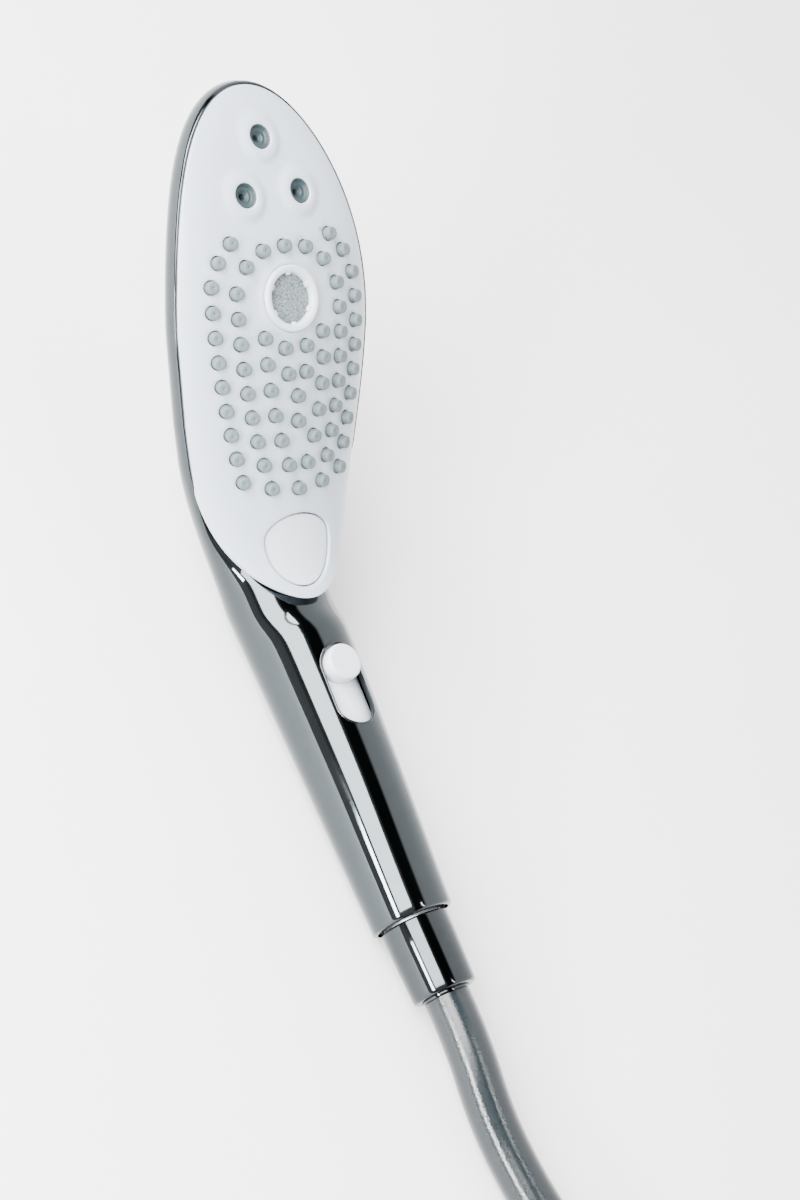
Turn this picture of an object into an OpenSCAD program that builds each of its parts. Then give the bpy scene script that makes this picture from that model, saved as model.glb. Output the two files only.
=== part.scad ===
/* [Spray plate] */
// Half of the plate's greatest width
plate_half_w = 40.3; // [38:0.1:42]
// From the widest line to the plate's upper tip
plate_top_len = 76.5; // [74:0.5:79]
// From the widest line to the plate's lower tip
plate_low_len = 92; // [90:0.5:94]
// Height of the widest line above the head's origin
plate_wide_y = 32; // [30:0.5:34]
// Thickness of the plate
plate_t = 2.4; // [2:0.1:3]
// How far the plate's edge rolls over
rim_drop = 2.3; // [1.5:0.1:3]

/* [Nozzles] */
// Radius of each hole in the plate
nozzle_hole_r = 2.55; // [2.3:0.05:2.8]
// Radius of each silicone nozzle
nozzle_r = 2.05; // [1.8:0.05:2.2]
// How far the nozzles stand out of the plate
nozzle_out = 2.2; // [1:0.1:3]
// Radius of the three jet inserts
jet_r = 4.3; // [4:0.1:4.6]
// Outer radius of the massage ring
ring_r = 11.2; // [10.5:0.1:11.6]

/* [Handle] */
// Angle between the spray plate and the handle
head_tilt = 37.5; // [36:0.5:39]
// Radius of the handle at its lower end
grip_end_r = 14.3; // [14:0.1:15]
// Gain of radius for each millimetre towards the head
grip_taper = 0.035; // [0.03:0.001:0.04]
// Wall thickness of the casing
wall = 2.2; // [2:0.1:2.4]

/* [Controls] */
// Half of the mode button's width
button_half_w = 13.75; // [13.2:0.05:13.85]
// Travel of the mode button
button_travel = 2.4; // [1.5:0.1:2.6]
// Radius of the flow slider's knob
knob_r = 6.4; // [6.2:0.1:6.6]
// Travel of the flow slider
slide_travel = 14; // [10:0.5:14]

/* [Hose] */
// Diameter of the hose
hose_d = 16; // [14:0.5:16]
// Radius of the hose nut at the handle
nut_r = 11.9; // [11.8:0.1:12.4]
// Length of the hose nut
nut_len = 26; // [24:0.5:26]

/* [Hidden] */
$fn = 48;

chrome = [0.62, 0.65, 0.65];
white = [0.90, 0.91, 0.93];
silicone = [0.66, 0.71, 0.72];
dark = [0.25, 0.33, 0.35];
rubber = [0.15, 0.15, 0.16];
acetal = [0.80, 0.82, 0.80];
brass = [0.72, 0.60, 0.36];
steel = [0.60, 0.61, 0.62];

// --- Frames. The handle lies along Y with its underside on z = 0, and the head rises towards +Y. ---
head_y = 41.8;
head_z = 66.4;
grip_end_y = head_y - 163.4;
inlet_z = grip_end_r;

module in_head() {
    translate([0, head_y, head_z]) rotate([head_tilt, 0, 0]) children();
}
function to_row(y, z) = [
    head_y + y * cos(head_tilt) - z * sin(head_tilt),
    head_z + y * sin(head_tilt) + z * cos(head_tilt)
];

// --- The face. It is a pear in outline, crowned across and curved along. ---
side_taper = 0.1;
tail_power = 4.1;
function egg_w(y, g) = let(d = plate_wide_y - y)
    d < 0 ? (plate_half_w + g) * sqrt(max(0, 1 - pow(d / (plate_top_len + g), 2)))
          : (plate_half_w + g - side_taper * d) * sqrt(max(0, 1 - pow(d / (plate_low_len + g), tail_power)));
function egg_y(a, g) = plate_wide_y + ((a < 90 ? plate_top_len : plate_low_len) + g) * cos(a);
function egg_rho(x, y) = let(d = plate_wide_y - y)
    d < 0 ? norm([x / plate_half_w, d / plate_top_len])
          : max(abs(x) / max(0.1, egg_w(y, 0)), d / plate_low_len);
function crown_z(y) = -7.6 * pow(y / 100, 2) - 35.8 * pow(y / 100, 3) + 21.5 * pow(y / 100, 4)
    + 0.0105 * pow(max(0, -46 - y), 2);
function cross_k(y) = 0.00716 - 0.00775 * y / 100 + 0.00154 * pow(y / 100, 2);
function face_z(x, y) = crown_z(y) - cross_k(y) * x * x - rim_drop * pow(egg_rho(x, y), 12);
function rim_z(y) = crown_z(y) - cross_k(y) * pow(egg_w(y, 0), 2) - rim_drop;
function slope_y(x, y) = atan((face_z(x, y + 0.5) - face_z(x, y - 0.5)));
function slope_x(x, y) = atan((face_z(x + 0.5, y) - face_z(x - 0.5, y)));

// Stands its children on the face at x, y, square to the surface
module on_face(x, y, sink = 0) {
    translate([x, y, face_z(x, y)])
        rotate([slope_y(x, y), -slope_x(x, y), 0])
            translate([0, 0, -sink]) children();
}

// A sheet of the face, g wider than the plate, from z = top to z = bottom under the face's surface
module face_sheet(g, top, bottom, a0 = 3, a1 = 177, rows = 34, cols = 12) {
    function p(i, j, d) =
        let(a = a0 + (a1 - a0) * j / rows, y = egg_y(a, g), x = egg_w(y, g) * sin(180 * i / cols - 90))
        [x, y, face_z(x, y) - d];
    n = (rows + 1) * (cols + 1);
    pts = [for (d = [top, bottom]) for (j = [0:rows]) for (i = [0:cols]) p(i, j, d)];
    function v(i, j, k) = k * n + j * (cols + 1) + i;
    upper = [for (j = [0:rows - 1]) for (i = [0:cols - 1])
        each [[v(i, j, 0), v(i + 1, j, 0), v(i + 1, j + 1, 0)], [v(i, j, 0), v(i + 1, j + 1, 0), v(i, j + 1, 0)]]];
    lower = [for (j = [0:rows - 1]) for (i = [0:cols - 1])
        each [[v(i, j, 1), v(i + 1, j + 1, 1), v(i + 1, j, 1)], [v(i, j, 1), v(i, j + 1, 1), v(i + 1, j + 1, 1)]]];
    left = [for (j = [0:rows - 1])
        each [[v(0, j, 0), v(0, j + 1, 0), v(0, j + 1, 1)], [v(0, j, 0), v(0, j + 1, 1), v(0, j, 1)]]];
    right = [for (j = [0:rows - 1])
        each [[v(cols, j, 0), v(cols, j, 1), v(cols, j + 1, 1)],
              [v(cols, j, 0), v(cols, j + 1, 1), v(cols, j + 1, 0)]]];
    near = [for (i = [0:cols - 1])
        each [[v(i, 0, 0), v(i, 0, 1), v(i + 1, 0, 1)], [v(i, 0, 0), v(i + 1, 0, 1), v(i + 1, 0, 0)]]];
    far = [for (i = [0:cols - 1])
        each [[v(i, rows, 0), v(i + 1, rows, 1), v(i, rows, 1)],
              [v(i, rows, 0), v(i + 1, rows, 0), v(i + 1, rows, 1)]]];
    polyhedron(points = pts, faces = concat(upper, lower, left, right, near, far));
}

// --- Nozzle field: mirrored columns that follow the plate's outline ---
outer_col = [for (k = [0:10]) let(y = k < 2 ? 59.1 - 5.8 * k : 45.7 - 8.15 * (k - 2))
    [k < 2 ? 21 + 5.5 * k : 30.2 - 0.0098 * pow(abs(y - 38), 1.7), y]];
middle_col = [for (k = [0:9]) let(y = 51.3 - 8.2 * k) [k == 0 ? 16.4 : 21.5 - 0.0049 * pow(abs(y - 35), 1.9), y]];
inner_col = [for (k = [0:5]) [12.2 - 0.33 * k * k, 27.9 - 8.62 * k]];
core_col = [[4.5, 24], [3.8, 15.4]];
side_nozzles = concat(outer_col, middle_col, inner_col, core_col, [[9, 55.9]]);
mid_nozzles = [[0, 56.9], [0, 7.7], [0, -0.7], [0, -23.6]];
nozzles = concat(side_nozzles, [for (q = side_nozzles) [-q[0], q[1]]], mid_nozzles);
jets = [[-11.5, 73.9], [11.5, 73.9], [0, 92]];
ring_y = 40;
button_y = -44;
button_gap = 0.35;
// The button's outline in its own frame, g wider all round
oval_up = 8.1;
oval_low = 16.8;
oval_y = 3.9;
function oval(g) = [for (a = [0:12:348])
    [(button_half_w + button_gap + g) * cos(a), oval_y + ((sin(a) > 0 ? oval_up : oval_low) + g) * sin(a)]];

// --- Casing: one loft of rings, from the head's tip through the neck to the end of the handle ---
lip = 1.3;
deck_drop = 2.7;
deck_rise = 0.05;
back_depth = 17.5;
neck_start_y = -14;
neck_end_y = -60;
segs = 28;
function grip_r(y) = grip_end_r + grip_taper * (y - grip_end_y);
function ease(t) = t * t * (3 - 2 * t);
function mix(a, b, t) = a + (b - a) * t;
// A ring is [y, z, tilt, half width, front height, back depth] in the row's frame
function head_ring(y) =
    let(o = to_row(y, rim_z(y) - deck_drop), t = (y - plate_wide_y) / (plate_top_len + lip))
    [o[0], o[1], head_tilt, egg_w(y, lip), deck_rise, back_depth * (t > 0 ? sqrt(1 - pow(t, 5)) : 1)];
// The handle is a little deeper towards the head, and its top dips under the plate's tail
top_gain = 1.2;
tail_dip = 4.1;
function ramp(y, y0, y1) = ease(min(1, max(0, (y - y0) / (y1 - y0))));
function grip_top(y) = 2 * grip_r(y) + top_gain * ramp(y, grip_end_y, -64);
function grip_ring(y) = let(r = grip_r(y))
    [y, r, 0, r, grip_top(y) - r - tail_dip * ramp(y, -17.2, -8.6), r];
function neck_ring(t) =
    let(h = head_ring(mix(neck_start_y, neck_end_y, t)), g = grip_ring(mix(to_row(neck_start_y, 0)[0] + 6, -2, t)),
        e = ease(t))
    [for (k = [0:5]) mix(h[k], g[k], k == 4 ? pow(e, 1.6) : e)];
tip_angles = [4, 9, 15, 22, 30, 39, 49, 60, 71, 81, 90, 97, 104, 111];
rings = concat(
    [for (a = tip_angles) head_ring(egg_y(a, lip))],
    [for (k = [0:11]) neck_ring(k / 11)],
    [for (y = [-5, -8.6, -11, -13, -15.5, -18, -22, -44, -64, -84, -104, grip_end_y]) grip_ring(y)]
);
// Thins a ring by w all round
function thin(r, w) = [r[0], r[1], r[2], r[3] - w, r[4] - w, r[5] - w];
function ring_pt(r, k) =
    let(a = 360 * k / segs, x = r[3] * cos(a), n = (sin(a) > 0 ? r[4] : r[5]) * sin(a))
    [x, r[0] - n * sin(r[2]), r[1] + n * cos(r[2])];
function strip(j, base, flip) = [for (k = [0:segs - 1])
    let(a = base + j * segs + k, b = base + j * segs + (k + 1) % segs, c = a + segs, d = b + segs)
    each flip ? [[a, d, b], [a, c, d]] : [[a, b, d], [a, d, c]]];
module loft(outer, inner) {
    n = len(outer);
    m = len(inner);
    base = n * segs;
    pts = concat([for (r = outer) for (k = [0:segs - 1]) ring_pt(r, k)],
                 [for (r = inner) for (k = [0:segs - 1]) ring_pt(r, k)]);
    skin = [for (j = [0:n - 2]) each strip(j, 0, false)];
    lining = [for (j = [0:m - 2]) each strip(j, base, true)];
    tip = [[for (k = [segs - 1:-1:0]) k]];
    inner_tip = [[for (k = [0:segs - 1]) base + k]];
    end = [for (k = [0:segs - 1])
        let(a = (n - 1) * segs + k, b = (n - 1) * segs + (k + 1) % segs,
            c = base + (m - 1) * segs + k, d = base + (m - 1) * segs + (k + 1) % segs)
        each [[a, b, d], [a, d, c]]];
    polyhedron(points = pts, faces = concat(skin, lining, tip, inner_tip, end));
}

// --- Swept tube: rings along a list of points, for the hose, the pipe and the spring ---
function unit(v) = v / norm(v);
function heading(p, i) = unit(p[min(i + 1, len(p) - 1)] - p[max(i - 1, 0)]);
module sweep(p, r, sides = 10, ref = [0, 0, 1]) {
    n = len(p);
    pts = [for (i = [0:n - 1]) let(h = heading(p, i), u = unit(cross(h, ref)), w = cross(h, u))
        for (k = [0:sides - 1]) p[i] + r * (u * cos(360 * k / sides) + w * sin(360 * k / sides))];
    sides_f = [for (i = [0:n - 2]) for (k = [0:sides - 1])
        let(a = i * sides + k, b = i * sides + (k + 1) % sides)
        each [[a, b + sides, b], [a, a + sides, b + sides]]];
    polyhedron(points = pts, faces = concat(sides_f, [[for (k = [0:sides - 1]) k]],
        [[for (k = [sides - 1:-1:0]) (n - 1) * sides + k]]));
}

// --- Spray head ---
module casing() {
    color(chrome) difference() {
        loft(rings, [for (i = [2:len(rings) - 1]) thin(rings[i], wall)]);
        in_head() translate([0, 0, -26]) linear_extrude(30) polygon(ledge_outline);
        button_axis() translate([0, 0, -22]) linear_extrude(30) polygon(oval(0.3));
        slot_axis() translate([0, 0, -9]) stadium(slot_r + frame_t + 0.05, slide_travel, 14);
    }
}
ledge = 6;
ledge_outline = [for (a = [10:8:130]) [egg_w(egg_y(a, -ledge), -ledge), egg_y(a, -ledge)],
    for (a = [130:-8:10]) [-egg_w(egg_y(a, -ledge), -ledge), egg_y(a, -ledge)]];

module face_plate() {
    color(white) in_head() difference() {
        union() {
            face_sheet(0, 0, plate_t);
            for (j = jets) on_face(j[0], j[1], 1) cylinder(h = 2.2, r1 = 7.6, r2 = 6.2);
        }
        for (q = nozzles) on_face(q[0], q[1], 5) cylinder(h = 9, r = nozzle_hole_r, $fn = 24);
        for (j = jets) on_face(j[0], j[1], 6) cylinder(h = 12, r = jet_r);
        on_face(0, ring_y, 6) cylinder(h = 12, r = ring_r);
        on_face(0, button_y, 8) linear_extrude(14) polygon(oval(0));
    }
}

mat_top = plate_t + 0.1;
mat_t = 1.4;
module nozzle_mat() {
    color(silicone) in_head() difference() {
        union() {
            face_sheet(-4, mat_top, mat_top + mat_t, 60, 133, 12, 8);
            for (q = nozzles) on_face(q[0], q[1], mat_top + 0.6)
                cylinder(h = mat_top + 0.6 + nozzle_out, r = nozzle_r, $fn = 24);
        }
        on_face(0, ring_y, 6) cylinder(h = 8, r = ring_r + 1);
        for (q = nozzles) on_face(q[0], q[1], 6) cylinder(h = 12, r = 0.6, $fn = 16);
    }
}

module jet_inserts() {
    color(dark) in_head() for (j = jets) on_face(j[0], j[1])
        rotate_extrude() polygon([[1.1, -5], [jet_r - 0.05, -5], [jet_r - 0.05, 0.6], [jet_r - 0.8, 0.6],
            [jet_r - 1.3, -0.6], [1.1, -1.6]]);
}

module massage_ring() {
    color(white) in_head() on_face(0, ring_y) union() {
        rotate_extrude() polygon([[ring_r - 2.3, -3.7], [ring_r - 0.05, -3.7], [ring_r - 0.05, 0.4],
            [ring_r - 0.6, 0.9], [ring_r - 1.8, 0.9], [ring_r - 2.3, 0.4]]);
        for (k = [0:5]) rotate(60 * k + 30) translate([ring_r - 3.6, -1.2, -0.6]) cube([1.5, 2.4, 1.2]);
    }
}

module screen_disc() {
    color(silicone) in_head() on_face(0, ring_y, 2.2) cylinder(h = 1.4, r = ring_r - 2.4);
}

module massage_seal() {
    color(rubber) in_head() on_face(0, ring_y) rotate_extrude() translate([ring_r - 1.2, -4.62]) circle(r = 0.85);
}

distributor_top = 5.6;
back_top = 9;
screw_spots = [for (s = [-1, 1]) each [[15 * s, 66], [24 * s, 44], [25 * s, 16], [17 * s, -12]]];
module screw_holes() {
    for (q = screw_spots) on_face(q[0], q[1], 14) cylinder(h = 9, r = 1.7, $fn = 24);
}
module distributor() {
    color(acetal) in_head() difference() {
        face_sheet(-7.2, distributor_top, distributor_top + 1.4, 32.5, 131, 20, 8);
        screw_holes();
        on_face(0, ring_y, 9) cylinder(h = 8, r = 5);
        for (j = jets) on_face(j[0], j[1], 9) cylinder(h = 8, r = 2.5);
    }
}

module chamber_back() {
    color(rubber) in_head() difference() {
        face_sheet(-11.5, back_top, back_top + 1.8, 34, 129, 20, 8);
        screw_holes();
        on_face(0, 2, 13) cylinder(h = 8, r = pipe_r - 0.8);
    }
}

module chamber_gasket() {
    color(silicone) in_head() difference() {
        face_sheet(-11.5, distributor_top + 1.65, back_top - 0.25, 34, 129, 20, 8);
        translate([0, 0, -40]) linear_extrude(60) polygon(gasket_hole);
        screw_holes();
    }
}
gasket_inset = 17;
gasket_hole = [for (a = [40:8:124]) [egg_w(egg_y(a, -gasket_inset), -gasket_inset), egg_y(a, -gasket_inset)],
    for (a = [124:-8:40]) [-egg_w(egg_y(a, -gasket_inset), -gasket_inset), egg_y(a, -gasket_inset)]];

module chamber_screws() {
    color(steel) in_head() for (q = screw_spots) on_face(q[0], q[1]) rotate_extrude()
        polygon([[0, -6], [1.5, -6], [1.5, -10.85], [2.8, -10.85], [2.8, -12.6], [0, -12.6]]);
}

// --- Mode button, along its own axis: z = 0 on the plate, -z into the neck ---
module button_axis() {
    in_head() on_face(0, button_y) children();
}
cap_sink = 1;
cap_t = 1.8;
skirt_end = -10.5;
housing_top = -8.6;
housing_floor = -16;
stem_r = 3;
module tube_of(outer, inner, z0, z1) {
    translate([0, 0, z0]) linear_extrude(z1 - z0) difference() {
        polygon(oval(outer));
        polygon(oval(inner));
    }
}
module mode_button() {
    color(white) union() {
        intersection() {
            in_head() face_sheet(-1.5, cap_sink, cap_sink + cap_t, 118, 174, 14, 12);
            button_axis() translate([0, 0, -9]) linear_extrude(14) polygon(oval(-button_gap));
        }
        button_axis() tube_of(-1.6, -2.8, skirt_end, -3.4);
    }
}
module button_stem() {
    color(acetal) button_axis() translate([0, 0, -21.4]) cylinder(h = 18.4, r = stem_r);
}
module button_housing() {
    color(acetal) button_axis() difference() {
        translate([0, 0, housing_floor - 1.4]) linear_extrude(housing_top - housing_floor + 1.4) polygon(oval(0));
        translate([0, 0, housing_floor]) linear_extrude(20) polygon(oval(-1.2));
        translate([0, 0, -20]) cylinder(h = 10, r = stem_r + 0.3);
    }
}
module button_seal() {
    color(rubber) button_axis() rotate_extrude() translate([stem_r + 1.2, -14.8]) circle(r = 0.85);
}
spring_turns = 4;
spring_pts = [for (a = [0:45:360 * spring_turns])
    [6.5 * cos(a), 6.5 * sin(a), mix(-15.2, -4.6, a / (360 * spring_turns))]];
module button_spring() {
    color(steel) button_axis() sweep(spring_pts, 0.6, 6);
}
module index_cam() {
    color(dark) button_axis() translate([0, 0, -20.8]) difference() {
        union() {
            cylinder(h = 3, r = 6.6);
            for (k = [0:5]) rotate(60 * k) translate([0, -1.2, 0]) cube([8, 2.4, 3]);
        }
        translate([0, 0, -1]) cylinder(h = 6, r = stem_r + 0.3);
    }
}

// --- Flow slider, in the frame of its slot: y up the handle, z square to it ---
slot_y = head_y - 77;
slot_r = 7.3;
frame_t = 0.7;
slope = atan(2 * grip_taper);
module slot_axis() {
    translate([0, slot_y, grip_top(slot_y)]) rotate([slope, 0, 0]) children();
}
module stadium(r, run, h) {
    linear_extrude(h) polygon([for (a = [0:15:360]) [r * cos(a), r * sin(a) - (a > 180 ? run : 0)],
        [r, -run]]);
}
track_r = 14.2;
track_t = 1.2;
track_up = 18;
track_down = 22.5;
gate_top = -9.6;
module slot_frame() {
    color(chrome) slot_axis() difference() {
        intersection() {
            translate([0, 0, -6]) stadium(slot_r + frame_t, slide_travel, 8);
            translate([0, 10, -16.6]) rotate([90, 0, 0]) cylinder(h = 50, r = 16.6);
        }
        translate([0, 0, -8]) stadium(slot_r, slide_travel, 12);
        translate([0, 11, -17.4]) rotate([90, 0, 0]) cylinder(h = 52, r = track_r + 0.35);
    }
}
module slider_plate() {
    color(white) slot_axis() intersection() {
        translate([0, track_up, -17.4]) rotate([90, 0, 0]) difference() {
            cylinder(h = track_up + track_down, r = track_r);
            translate([0, 0, -1]) cylinder(h = track_up + track_down + 2, r = track_r - track_t);
        }
        translate([-8.2, -track_down, -8]) cube([16.4, track_up + track_down, 8]);
    }
}
module slider_knob() {
    color(white) slot_axis() intersection() {
        rotate_extrude() polygon([[0, -5], [knob_r, -5], [knob_r, 1.1], [knob_r - 0.3, 1.6], [knob_r - 1, 1.9],
            [0, 2]]);
        difference() {
            translate([-8, -8, -6]) cube([16, 16, 9]);
            translate([0, 9, -17.4]) rotate([90, 0, 0]) cylinder(h = 18, r = track_r + 0.02);
        }
    }
}
module flow_gate() {
    color(acetal) slot_axis() union() {
        translate([-3, -4, gate_top]) cube([6, 8, -gate_top - 4.9]);
        translate([-6, -10, gate_top - 1.5]) cube([12, 20, 1.5]);
    }
}
bore_r = 5;
valve_y0 = slot_y - 33;
valve_y1 = slot_y + 14;
module valve_body() {
    color(dark) difference() {
        union() {
            translate([0, valve_y1, inlet_z]) rotate([90, 0, 0]) cylinder(h = valve_y1 - valve_y0, r = 8.5);
            slot_axis() translate([-8, -26, -20]) cube([16, 38, 20 + gate_top - 1.8]);
        }
        translate([0, valve_y1 + 1, inlet_z]) rotate([90, 0, 0]) cylinder(h = 60, r = bore_r);
        translate([0, valve_y0 + 6, inlet_z]) rotate([90, 0, 0]) cylinder(h = 10, r = tube_r + 0.1);
        slot_axis() translate([0, -4, -22]) cylinder(h = 14, r = 2.5);
        slot_axis() translate([0, -4, gate_top - 3]) cylinder(h = 3, r = 4.9);
    }
}
module valve_seal() {
    color(rubber) slot_axis() translate([0, -4, 0]) rotate_extrude()
        translate([3, gate_top - 2.95]) square([1.8, 1.1]);
}
tube_r = 6.4;
module water_tube() {
    color(acetal) translate([0, valve_y0 + 5.9, inlet_z]) rotate([90, 0, 0]) difference() {
        cylinder(h = tube_len, r = tube_r);
        translate([0, 0, -1]) cylinder(h = tube_len + 2, r = bore_r);
        for (z = [2, tube_len - 4]) translate([0, 0, z]) rotate_extrude()
            translate([tube_r - 0.9, 0]) square([2, 2]);
    }
}
tube_len = valve_y0 + 5.9 - grip_end_y - 11.2;
module tube_o_rings() {
    color(rubber) translate([0, valve_y0 + 5.9, inlet_z]) rotate([90, 0, 0])
        for (z = [3, tube_len - 3]) translate([0, 0, z]) rotate_extrude() translate([tube_r - 0.35, 0]) circle(r = 0.45);
}
pipe_r = 4.2;
pipe_route = [[0, valve_y1, 14.2], [0, -8, 13], [0, 4, 12.2], [0, 13, 12.8], [0, 20.5, 16], [0, 27, 21],
    [0, 33, 26.6], [0, 39.2, 32.8], [0, 45, 39.2], [0, 49.4, 45.4], [0, 52, 51.2], [0, 52, 55.6],
    [0, 50.6, 58.8]];
module feed_pipe() {
    color(acetal) sweep(pipe_route, pipe_r, 12, [1, 0, 0]);
}

// --- Inlet and hose nut: z = 0 at the end of the handle, +z out along the hose ---
module along_inlet() {
    translate([0, grip_end_y, inlet_z]) rotate([90, 0, 0]) children();
}
nipple_r = 10.4;
thread_gap = 0.08;
nipple_out = 9.5;
flange_z = nipple_out + 2;
nut_start = 0.5;
module inlet_nipple() {
    color(brass) along_inlet() rotate_extrude() polygon([[6.5, -18], [8.5, -18], [8.5, -6], [11.8, -6], [11.8, -2],
        [nipple_r, -2], [nipple_r, nipple_out], [7.5, nipple_out], [7.5, -3], [bore_r, -3], [bore_r, -11],
        [6.5, -11]]);
}
module flow_limiter() {
    color(dark) along_inlet() rotate_extrude() polygon([[1.5, -2.9], [7.4, -2.9], [7.4, 1.5], [6.6, 1.5],
        [6.6, -1.2], [1.5, -1.2]]);
}
module inlet_filter() {
    color(steel) along_inlet() rotate_extrude() polygon([[0, 3], [4, 3], [6.6, 7.6], [7.4, 7.6], [7.4, 8.4],
        [6.2, 8.4], [3.6, 3.8], [0, 3.8]]);
}
module hose_washer() {
    color(rubber) along_inlet() rotate_extrude() translate([6, nipple_out + 0.05]) square([3.6, 1.9]);
}
tail_end = nut_len + 1.5;
module hose_tail() {
    color(brass) along_inlet() rotate_extrude() polygon([[4.6, flange_z], [9.6, flange_z], [9.6, flange_z + 2],
        [7.9, flange_z + 2.6], [7.9, tail_end], [4.6, tail_end]]);
}
module hose_nut() {
    color(chrome) along_inlet() rotate_extrude() polygon([[nipple_r + thread_gap, nut_start],
        [nut_r - 0.6, nut_start], [nut_r, nut_start + 0.6], [nut_r - 0.75, nut_start + nut_len - 1],
        [nut_r - 1.6, nut_start + nut_len], [8.3, nut_start + nut_len], [8.3, flange_z + 3.2],
        [nipple_r + thread_gap, flange_z + 2.4]]);
}

// --- Hose: laid on the floor, then wound into a flat coil, with its free end on top ---
hose_r = hose_d / 2;
lead_route = [
    [0, -149.3, 14.3], [0, -160, 14.2], [0, -172, 13.1], [0.2, -185, 10.7], [1.2, -198, 8.7], [2.6, -212, 8],
    [4.5, -225, 8], [7.5, -237.5, 8], [11.5, -249.3, 8], [17, -260.5, 8], [24, -271, 8], [32, -280.8, 8],
    [40, -290.5, 8], [47, -301, 8], [52.5, -312.5, 8], [56.5, -324.5, 8], [59, -337, 8], [60, -350, 8]
];
coil_x = -38;
coil_y = -350;
coil_r0 = 98;
coil_r1 = 66;
end_route = [
    [20.4, -316.6, 8], [26.5, -332.5, 8.8], [28.6, -350, 11], [26.4, -368, 14.5], [20.6, -385, 18],
    [11.5, -400.5, 21.2], [-2, -413.5, 23.6], [-20.5, -423.5, 25], [-42, -428.5, 26.4], [-56, -430, 27.6],
    [-70, -430.5, 28.4], [-82, -430.5, 28.5]
];
module hose() {
    color(steel) sweep(lead_route, hose_r, 12);
}
module hose_coil() {
    color(steel) translate([coil_x, coil_y, 0]) difference() {
        rotate_extrude($fn = 96) translate([coil_r1 - hose_r, 0]) square([coil_r0 - coil_r1 + hose_d, hose_d]);
        tie_box(0);
    }
}
module hose_end() {
    color(steel) sweep(end_route, hose_r, 12);
}
tie_w = 16;
tie_t = 1;
module tie_box(t) {
    translate([-coil_r0 - hose_r - 1, -tie_w / 2, -t]) cube([coil_r0 - coil_r1 + hose_d + 2, tie_w, tie_t + t]);
}
module coil_tie() {
    x0 = -coil_r0 - hose_r - 1.5;
    w = coil_r0 - coil_r1 + hose_d + 3;
    color(rubber) translate([coil_x, coil_y, 0]) difference() {
        translate([x0, -tie_w / 2 + 0.1, 0]) cube([w, tie_w - 0.2, hose_d + 1.2]);
        translate([x0 + tie_t, -tie_w, tie_t - 0.05]) cube([w - 2 * tie_t, 2 * tie_w, hose_d - tie_t + 0.1]);
    }
}

// --- Fitting on the hose's free end: z = 0 at the hose's cut end, +z out of the nut's mouth ---
module far_end() {
    translate(end_route[len(end_route) - 1]) rotate([0, -90, 0]) children();
}
far_thread_r = 9.32;
far_nut_r = 12;
module far_ferrule() {
    color(chrome) far_end() rotate_extrude() translate([6.2, 0.15]) square([2, 12]);
}
module far_tail() {
    color(brass) far_end() rotate_extrude() polygon([[4.6, 0.15], [6.1, 0.15], [6.1, 14], [9, 14], [9, 16],
        [4.6, 16]]);
}
module far_washer() {
    color(rubber) far_end() rotate_extrude() translate([6, 16.05]) square([3, 1.9]);
}
module far_nut() {
    color(chrome) far_end() rotate_extrude() polygon([[8.5, 5], [far_nut_r - 1.4, 5], [far_nut_r - 0.2, 6.2],
        [far_nut_r, 8], [far_nut_r, 28.4], [far_nut_r - 0.6, 29], [far_thread_r, 29], [far_thread_r, 18.2],
        [10.2, 17.4], [10.2, 13.6], [8.5, 13.6]]);
}

casing();
face_plate();
nozzle_mat();
jet_inserts();
massage_ring();
screen_disc();
massage_seal();
distributor();
chamber_back();
chamber_gasket();
chamber_screws();
button_housing();
button_seal();
mode_button();
button_stem();
button_spring();
index_cam();
feed_pipe();
slot_frame();
slider_knob();
slider_plate();
flow_gate();
valve_body();
valve_seal();
water_tube();
tube_o_rings();
inlet_nipple();
flow_limiter();
inlet_filter();
hose_washer();
hose_tail();
hose_nut();
hose();
hose_coil();
coil_tie();
hose_end();
far_ferrule();
far_tail();
far_washer();
far_nut();
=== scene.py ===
import math

import bpy
import bmesh
from mathutils import Matrix, Vector
from mathutils.bvhtree import BVHTree
from mathutils.geometry import delaunay_2d_cdt
from mathutils.interpolate import poly_3d_calc


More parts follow.
